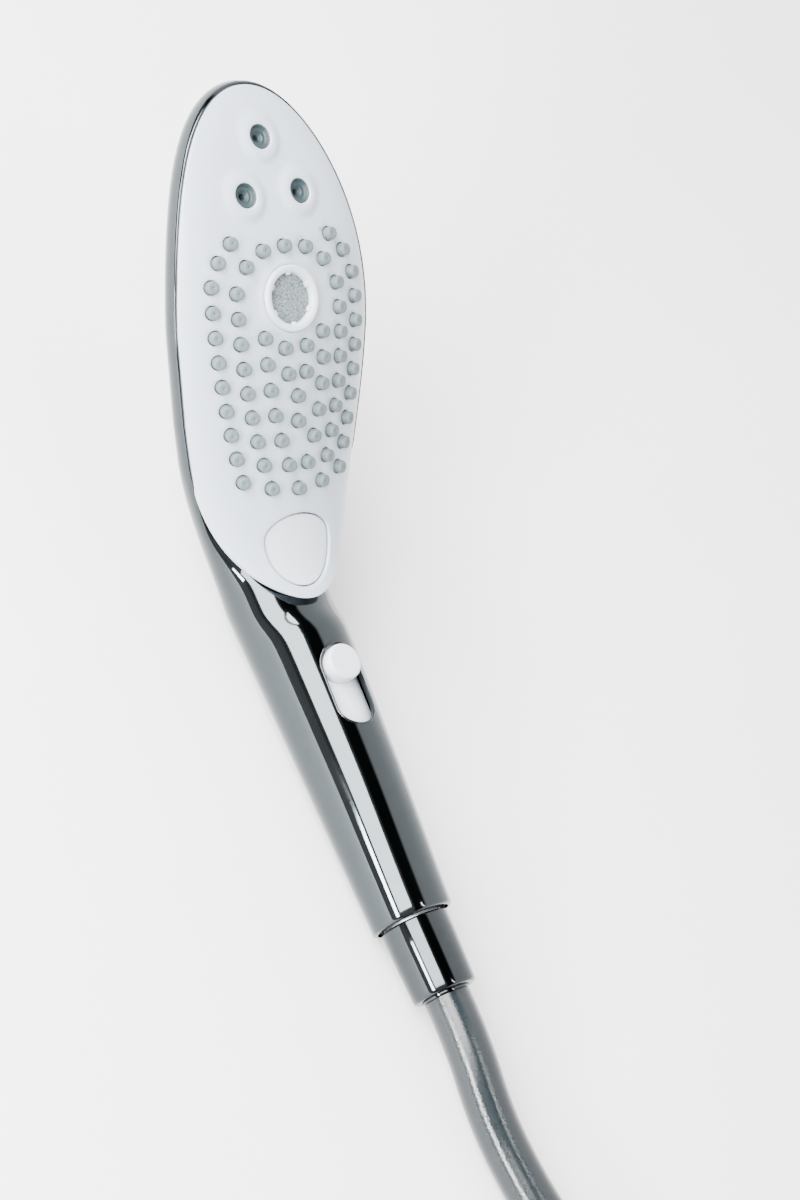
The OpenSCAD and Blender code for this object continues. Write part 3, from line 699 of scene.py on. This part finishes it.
def build_plate():
    spots = nozzle_spots()
    edge = [(egg_w(egg_y(k + 0.5)), egg_y(k + 0.5)) for k in range(180)]
    edge += [(-x, y) for x, y in reversed(edge)]
    holes = [(on_face(x, y), NOZZLE_HOLE_R, 24, "nozzle") for x, y in spots]
    holes += [(on_face(x, y), JET_R, 48, "jet") for x, y in JETS]
    holes.append((on_face(0, RING_Y), RING_R, 72, "ring"))
    pts, edges = [], []

    def add_loop(loop):
        start = len(pts)
        pts.extend(loop)
        n = len(loop)
        edges.extend((start + k, start + (k + 1) % n) for k in range(n))
        return list(range(start, start + n))

    rim = add_loop(edge)
    hole_ids = []
    for f, r, n, kind in holes:
        opened = HOLE_KINDS[kind][0]
        hole_ids.append(add_loop([(p.x, p.y) for p in circle_on(f, r + opened, n)]))
    button_loop = add_loop([(p.x, p.y) for p in (cap_point(u, v, 0) for u, v in oval(0.75))])

    def button_rho(x, y, g):
        p = button_frame.inverted() @ Vector((x, y, face_z(x, y)))
        return oval_rho(p.x, p.y, g)

    def on_plate(x, y, gap):
        if abs(x) > egg_w(y) - gap or not egg_y(180) + gap < y < egg_y(0) - gap:
            return False
        for f, r, n, kind in holes:
            if math.hypot(x - f.translation.x, y - f.translation.y) < r + 0.8 + gap * 0.4:
                return False
        return button_rho(x, y, 1.6) > 1

    step = 1.7
    free = []
    for j in range(int((TOP_LEN + LOW_LEN + 3.5) / step)):
        for i in range(-25, 26):
            x, y = i * step + (step / 2 if j % 2 else 0), WIDE_Y - LOW_LEN + j * step
            if on_plate(x, y, 1.2):
                free.append((x, y))
    for g, n in ((-0.28, 180), (-0.65, 170), (-1.1, 150), (-1.7, 130)):  # close rows where the edge rolls over
        for k in range(n):
            a = 180 * (k + 0.5) / n
            x, y = egg_w(egg_y(a, g), g), egg_y(a, g)
            free += [(x, y), (-x, y)]
    for cx, cy in JETS:
        for r in (5.3, 5.9, 6.6, 7.4, 8.2, 9.0):
            n = int(r * 6)
            free += [(cx + x, cy + y) for x, y in circle(r, n)]
    for r in (11.85, 12.3, 12.8, 13.3):
        free += [(x, RING_Y + y) for x, y in circle(r, 72)]
    clear = NOZZLE_HOLE_R + 0.35
    free = [(x, y) for x, y in free if all(math.hypot(x - a, y - b) >= clear for a, b in spots)]
    made, _, tris, orig, _, _ = delaunay_2d_cdt([Vector(p) for p in pts + free], edges, [], 0, 1e-5)
    where = {}
    for i, src in enumerate(orig):
        for s in src:
            where[s] = i
    verts = [Vector((p.x, p.y, plate_z(p.x, p.y))) for p in made]

    def in_hole(x, y):
        if abs(x) > egg_w(y) + 1e-3:
            return True
        for f, r, n, kind in holes:
            q = f.inverted() @ Vector((x, y, face_z(x, y)))
            if math.hypot(q.x, q.y) < r + HOLE_KINDS[kind][1] - 0.05:
                return True
        return button_rho(x, y, 0.6) < 1

    faces = []
    for t in tris:
        cx = sum(made[i].x for i in t) / 3
        cy = sum(made[i].y for i in t) / 3
        if not in_hole(cx, cy):
            faces.append(tuple(t))

    def strip(ids, rows):
        """Hangs rows of points from a loop."""
        prev = [where[i] for i in ids]
        for row in rows:
            now = list(range(len(verts), len(verts) + len(row)))
            verts.extend(row)
            n = len(row)
            for k in range(n):
                faces.append((prev[k], prev[(k + 1) % n], now[(k + 1) % n], now[k]))
            prev = now

    for ids, (f, r, n, kind) in zip(hole_ids, holes):
        _, _, lift, wall = HOLE_KINDS[kind]
        strip(ids, [[Vector((p.x, p.y, face_z(p.x, p.y) + lift + dz)) for p in circle_on(f, r + g, n)]
                    for g, dz in wall])
    down = button_frame.to_3x3() @ Vector((0, 0, -1))
    rows = []
    for g, dz in ((0.4, 0.08), (0.15, 0.25), (0.02, 0.55), (0, 0.9), (0, 2.4)):
        rows.append([cap_point(u, v, 0) + down * dz for u, v in oval(g)])
    strip(button_loop, rows)
    rows = []
    for g, dz in ((0.03, -0.35), (0.0, -0.8), (-0.2, -2.3)):
        row = []
        for k in range(180):
            y = egg_y(k + 0.5, g)
            row.append(Vector((egg_w(y, g), y, rim_z(y) + dz)))
        row += [Vector((-p.x, p.y, p.z)) for p in reversed(row)]
        rows.append(row)
    strip(rim, rows)
    return new_object("spray_plate", [head(*v) for v in verts], faces, 50)


plate = build_plate()
finish_piece(plate, plate_white, "handset", "plate", "face_plate")


# ---------------------------------------------------------------- nozzles, jets, centre spray
def face_place(x, y):
    f = on_face(x, y)
    return lambda p: head(*(f @ p))


# profiles of turned forms are (radius, height)
nozzle_profile = [(0, 2.2), (0.22, 2.25), (0.34, 2.42), (0.6, 2.5), (1.3, 2.54), (1.75, 2.5),
                  (1.98, 2.38), (2.1, 2.15), (2.16, 1.7), (2.2, 0.6), (2.25, -2.6)]
pile = Pile()
for x, y in nozzle_spots():
    pile.add(*lathe(nozzle_profile, 22, face_place(x, y)))
rows = []
for j in range(37):  # the sheet that the nozzles are moulded to
    y = egg_y(mix(60, 133, j / 36), -4)
    w = egg_w(y, -4)
    xs = [w * math.sin(math.radians(mix(-90, 90, i / 24))) for i in range(25)]
    rows.append([head(x, y, face_z(x, y) - 2.52) for x in xs])
pile.add([v for r in rows for v in r], join_rings(rows, closed=False))
nozzles = new_object("nozzle_sheet", pile.verts, pile.faces, 50)
finish_piece(nozzles, silicone, "handset", "nozzle", "nozzle_mat")

jet_profile = [(4.24, -4.9), (4.24, 0.35), (4.15, 0.52), (3.95, 0.56), (3.75, 0.4), (3.6, -0.1),
               (3.4, -0.75), (3.15, -1.0), (2.5, -1.05), (2.3, -0.95), (2.05, -1.05), (1.9, -1.5),
               (1.65, -1.7), (1.25, -1.8), (1.05, -2.1), (0.95, -4.6), (0, -4.7)]
pile = Pile()
for x, y in JETS:
    pile.add(*lathe(jet_profile, 48, face_place(x, y)))
jets = new_object("jet_cups", pile.verts, pile.faces, 50)
finish_piece(jets, insert_dark, "handset", "insert", "jet_inserts")

ring_profile = [(11.13, -3.6), (11.13, 0.85), (10.98, 1.1), (10.6, 1.25), (10.1, 1.28), (9.5, 1.18),
                (9.0, 0.95), (8.7, 0.6), (8.52, 0.0), (8.45, -0.8), (8.45, -2.1)]
pile = Pile()
place = face_place(0, RING_Y)
pile.add(*lathe(ring_profile, 96, place, False))
for k in range(6):  # teeth that hold the screen down
    mid = math.radians(60 * k + 30)
    half = math.radians(6.2)
    rows = []
    for r, z0 in ((8.9, 0.7), (8.3, 0.5), (7.95, 0.3), (7.8, 0.0), (7.78, -0.85)):
        across = ((-1.06, -0.5), (-1, -0.12), (-0.85, 0), (0.85, 0), (1, -0.12), (1.06, -0.5))
        rows.append([place(Vector((r * math.cos(mid + s * half), r * math.sin(mid + s * half), z0 + dz)))
                     for s, dz in across])
    pile.add([v for r in rows for v in r], join_rings(rows, closed=False))
ring = new_object("spray_ring", pile.verts, pile.faces, 45)
finish_piece(ring, trim_white, "handset", "white_trim", "massage_ring")

disc_profile = [(0, -0.72), (3, -0.74), (6, -0.82), (7.9, -0.98), (8.6, -1.15), (8.75, -1.5),
                (8.75, -2.6)]
disc = turned("spray_screen", disc_profile, place, 72)
finish_piece(disc, screen_grey, "handset", "screen", "screen_disc")


# ---------------------------------------------------------------- mode button
def build_button():
    sink = 1.0  # the cap's top lies this far under the plate's face
    pts = oval(-0.95)
    n = len(pts)
    edges = [(k, (k + 1) % n) for k in range(n)]
    for j in range(-14, 12):
        for i in range(-10, 11):
            u, v = i * 1.4 + (0.7 if j % 2 else 0), BUTTON_MID + j * 1.35
            if oval_rho(u, v, -1.6) < 0.985:
                pts.append((u, v))
    made, _, tris, orig, _, _ = delaunay_2d_cdt([Vector(p) for p in pts], edges, [], 1, 1e-5)
    where = {s: i for i, src in enumerate(orig) for s in src}
    verts = [cap_point(p.x, p.y, sink) for p in made]
    faces = [tuple(t) for t in tris]
    prev = [where[k] for k in range(n)]
    down = button_frame.to_3x3() @ Vector((0, 0, -1))
    sides = ((-0.7, 0.05), (-0.5, 0.2), (-0.38, 0.45), (-0.35, 0.8), (-0.35, 2.2), (-1.6, 2.5),
             (-1.6, 9.4), (-2.8, 9.4), (-2.8, 2.6))
    for g, dz in sides:
        now = list(range(len(verts), len(verts) + n))
        verts.extend(cap_point(u, v, sink) + down * dz for u, v in oval(g))
        for k in range(n):
            faces.append((prev[k], prev[(k + 1) % n], now[(k + 1) % n], now[k]))
        prev = now
    faces.append(tuple(prev))
    return new_object("mode_button_cap", [head(*v) for v in verts], faces, 50)


button = build_button()
finish_piece(button, trim_white, "button", "white_trim", "mode_button")


def build_spring():
    """The return spring: four turns of wire, its end turns wound close."""
    turns, steps, wire_r, coil_r, low, high = 4, 112, 0.6, 6.5, -15.2, -4.6
    rings = []
    for i in range(steps + 1):
        s = i / steps
        a = 2 * math.pi * turns * s
        z = mix(low, high, mix(s, ease(s), 0.6))
        out = Vector((math.cos(a), math.sin(a), 0))
        rings.append([button_place(out * (coil_r + u) + Vector((0, 0, z + v))) for u, v in circle(wire_r, 10)])
    verts = [p for r in rings for p in r]
    return new_object("return_spring", verts, join_rings(rings, cap0=True, cap1=True), 50)


spring = build_spring()
finish_piece(spring, steel, "handset", "screw", "button_spring")
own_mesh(spring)


# ---------------------------------------------------------------- slider: frame round the slot, and the knob
def slot_surface(x, y):
    """Height of the handle's surface over x, y of the slot's frame."""
    row_y = SLOT_Y + y
    r = grip_r(row_y)
    front = grip_top(row_y) - r
    return front * (math.sqrt(max(0, 1 - (x / r) ** 2)) - 1)


def slot_point(x, y, dz):
    """dz over the handle's surface, but not below the track."""
    track = math.sqrt(TRACK_R ** 2 - x * x) + TRACK_AXIS
    return slot_place(Vector((x, y, max(slot_surface(x, y) + dz, track))))


slot_section = ((8.02, -0.35), (8.0, 0.02), (7.86, 0.14), (7.62, 0.16), (7.42, 0.02), (7.32, -0.3),
                (SLOT_R, -0.9), (SLOT_R, -1.9))
rows = [[slot_point(x, y, dz) for x, y in stadium(r, SLOT_RUN)] for r, dz in slot_section]
slot_rim = new_object("slot_rim", [v for r in rows for v in r], join_rings(rows), 50)
finish_piece(slot_rim, chrome, "handset", "casing", "slot_frame")

knob_steps = 72
knob_top = 1.94
knob_profile = [(4.0, 1.96), (5.2, 1.98), (5.75, 1.93), (6.1, 1.74), (6.3, 1.4), (6.38, 0.9), (6.4, 0.2)]
rings = [[Vector((x, y, z)) for x, y in circle(r, knob_steps)] for r, z in knob_profile]
rings.append([Vector((p.x, p.y, math.sqrt(KNOB_R ** 2 - p.x ** 2) + TRACK_AXIS)) for p in rings[-1]])
verts = [slot_place(p) for r in rings for p in r] + [slot_place(Vector((0, 0, knob_top)))]
faces = join_rings(rings)
faces += [((k + 1) % knob_steps, k, len(verts) - 1) for k in range(knob_steps)]
knob = new_object("slider_button", verts, faces, 50)
finish_piece(knob, trim_white, "slider", "white_trim", "slider_knob")


# ---------------------------------------------------------------- nuts and hose ends
def inlet_place(p):
    return Vector((p.x, END_Y - p.z, GRIP_R + p.y)) * MM


nut_profile = [(10.48, 0.6), (10.9, 0.5), (11.45, 0.55), (11.78, 0.85), (11.9, 1.4), (11.78, 8),
               (11.42, 20), (11.24, 25), (11.1, 25.8), (10.7, 26.3), (10.1, 26.5), (9.0, 26.5),
               (8.6, 26.35), (8.35, 25.9), (8.3, 25.2), (8.3, 14.8), (10.48, 14)]
nut = turned("inlet_nut", nut_profile, inlet_place, 128, 50)
finish_piece(nut, nut_chrome, "swivel_nut", "nut", "hose_nut")

tail_profile = [(4.6, 11.5), (9.6, 11.5), (9.6, 13.4), (7.9, 14.1), (7.9, 25.6), (8.1, 26.2),
                (8.1, 27.0), (7.95, 27.4), (7.6, 27.5), (4.6, 27.5)]
tail = turned("hose_collar", tail_profile, inlet_place, 96)
finish_piece(tail, nut_chrome, "handset", "brass", "hose_tail")


def far_place(p):
    x, y, z = END[-1]
    return Vector((x - p.z, y + p.y, z + p.x)) * MM


crest, root, pitch = 9.32, 9.75, 1.1  # of the thread inside the nut
far_profile = [(8.5, 5.2), (9.6, 5.0), (10.6, 5.1), (11.4, 5.6), (11.9, 6.6), (12, 8), (12, 27.8),
               (11.85, 28.5), (11.4, 28.95), (10.2, 29), (9.5, 28.9), (crest, 28.4)]
for k in range(9):  # turns of thread, as grooves
    z = 28.0 - k * pitch
    far_profile += [(crest, z), (root, z - 0.4), (root, z - 0.6), (crest, z - 0.95)]
far_profile += [(crest, 18.2), (10.2, 17.4), (10.2, 13.6), (8.5, 13.6)]
far_nut = turned("supply_nut", far_profile, far_place, 96, 30)
finish_piece(far_nut, nut_chrome, "supply_nut", "nut", "far_nut")

ferrule_profile = [(6.2, 0.15), (8.3, 0.15), (8.5, 0.4), (8.5, 1.6), (8.25, 1.9), (8.25, 3.4),
                   (8.48, 3.7), (8.48, 4.6), (8.2, 5.0), (8.2, 12.1), (6.2, 12.1)]
ferrule = turned("supply_ferrule", ferrule_profile, far_place, 96)
finish_piece(ferrule, nut_chrome, "handset", "nut", "far_ferrule")


# ---------------------------------------------------------------- the tie round the coil
TIE_CORNER, TIE_WALL, TIE_EDGE = 0.0045, 0.0008, 0.0006  # metres: corner radius, thickness, rounded edge
lo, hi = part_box("coil_tie")
rows = []
for y, grow in ((lo.y, -0.35), (lo.y + TIE_EDGE, 0), (mix(lo.y, hi.y, 0.5), 0.0),
                (hi.y - TIE_EDGE, 0), (hi.y, -0.35)):
    loop = []
    w, h = (hi.x - lo.x) / 2 + grow * MM, (hi.z - lo.z) / 2 + grow * MM
    for cx, cz, a0 in ((1, 1, 0), (-1, 1, 90), (-1, -1, 180), (1, -1, 270)):
        for k in range(7):
            a = math.radians(a0 + 15 * k)
            x = lo.x + (hi.x - lo.x) / 2 + cx * (w - TIE_CORNER) + TIE_CORNER * math.cos(a)
            z = lo.z + (hi.z - lo.z) / 2 + cz * (h - TIE_CORNER) + TIE_CORNER * math.sin(a)
            loop.append(Vector((x, y, z)))
    rows.append(loop)
mid = Vector(((lo.x + hi.x) / 2, 0, (lo.z + hi.z) / 2))
in_x, in_z = 1 - TIE_WALL / (hi.x - mid.x), 1 - TIE_WALL / (hi.z - mid.z)
rows += [[Vector((mid.x + (p.x - mid.x) * in_x, p.y, mid.z + (p.z - mid.z) * in_z)) for p in r]
         for r in reversed(rows)]
rows.append(rows[0])
tie = new_object("hose_tie", [v for r in rows for v in r], join_rings(rows), 50)
finish_piece(tie, tie_rubber, "handset", "tie", "coil_tie")


# ---------------------------------------------------------------- floor and light
def plane(name, size, z):
    verts = [(-size, -size, z), (size, -size, z), (size, size, z), (-size, size, z)]
    mesh = bpy.data.meshes.new(name)
    mesh.from_pydata(verts, [], [(0, 1, 2, 3)])
    obj = bpy.data.objects.new(name, mesh)
    bpy.context.scene.collection.objects.link(obj)
    return obj


floor = plane("floor", 4, -0.0003)
floor_mat = Mat("floor_pale", (0.92, 0.92, 0.92), 0.7, scale=14, spread=0.01, bump=0.0)
paint(floor, floor_mat)
floor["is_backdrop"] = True


def area(name, at, to, size, size_y, power, axis=(0, 1, 0)):
    """A rectangular light at one spot, turned to another; size_y runs along the axis. Power in watts."""
    data = bpy.data.lights.new(name, "AREA")
    data.shape, data.size, data.size_y, data.energy = "RECTANGLE", size, size_y, power
    obj = bpy.data.objects.new(name, data)
    back = (Vector(at) - Vector(to)).normalized()
    along = (Vector(axis) - back * back.dot(Vector(axis))).normalized()
    turned_to = Matrix((along.cross(back), along, back)).transposed().to_4x4()
    obj.matrix_world = Matrix.Translation(at) @ turned_to
    bpy.context.scene.collection.objects.link(obj)


area("softbox", (-0.84, 0.24, 0.87), (0, -0.06, 0.03), 0.80, 1.0, 66.0)
area("fill_top", (-0.80, 1.35, 1.1), (0, 0.0, 0), 1.1, 0.6, 75.0)
area("strip_side", (-1.14, -0.28, 0.40), (0.0, -0.19, 0.01), 0.16, 0.54, 30.0)
area("strip_over", (0.08, -0.50, 1.2), (0.03, -0.28, 0.01), 0.07, 0.6, 4.0, (0.3, -0.9, 0))

world = bpy.data.worlds.new("studio")
bpy.context.scene.world = world
world.use_nodes = True
tree = world.node_tree
background = next(n for n in tree.nodes if n.type == "BACKGROUND")
coord = tree.nodes.new("ShaderNodeTexCoord")
split = tree.nodes.new("ShaderNodeSeparateXYZ")
tree.links.new(coord.outputs["Generated"], split.inputs["Vector"])
# the studio from left (-X) over the top to right: pale with a thin dark line, a black gap, then bright
turn_round = tree.nodes.new("ShaderNodeMath")
turn_round.operation = "ARCTAN2"
tree.links.new(split.outputs["X"], turn_round.inputs[0])
tree.links.new(split.outputs["Z"], turn_round.inputs[1])
share = tree.nodes.new("ShaderNodeMapRange")
share.inputs["From Min"].default_value, share.inputs["From Max"].default_value = -math.pi / 2, math.pi / 2
tree.links.new(turn_round.outputs["Value"], share.inputs["Value"])
walls = tree.nodes.new("ShaderNodeValToRGB")
stops = [(0.0, 0.9), (0.09, 0.7), (0.12, 0.15), (0.15, 0.8), (0.36, 0.8), (0.39, 0.04), (0.54, 0.04),
         (0.575, 2.2), (0.75, 2.5), (1.0, 3.6)]
set_stops(walls, [(pos, (v, v, v)) for pos, v in stops])
tree.links.new(share.outputs["Result"], walls.inputs["Fac"])
tree.links.new(walls.outputs["Color"], background.inputs["Color"])
background.inputs["Strength"].default_value = 1.0

lo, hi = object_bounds()
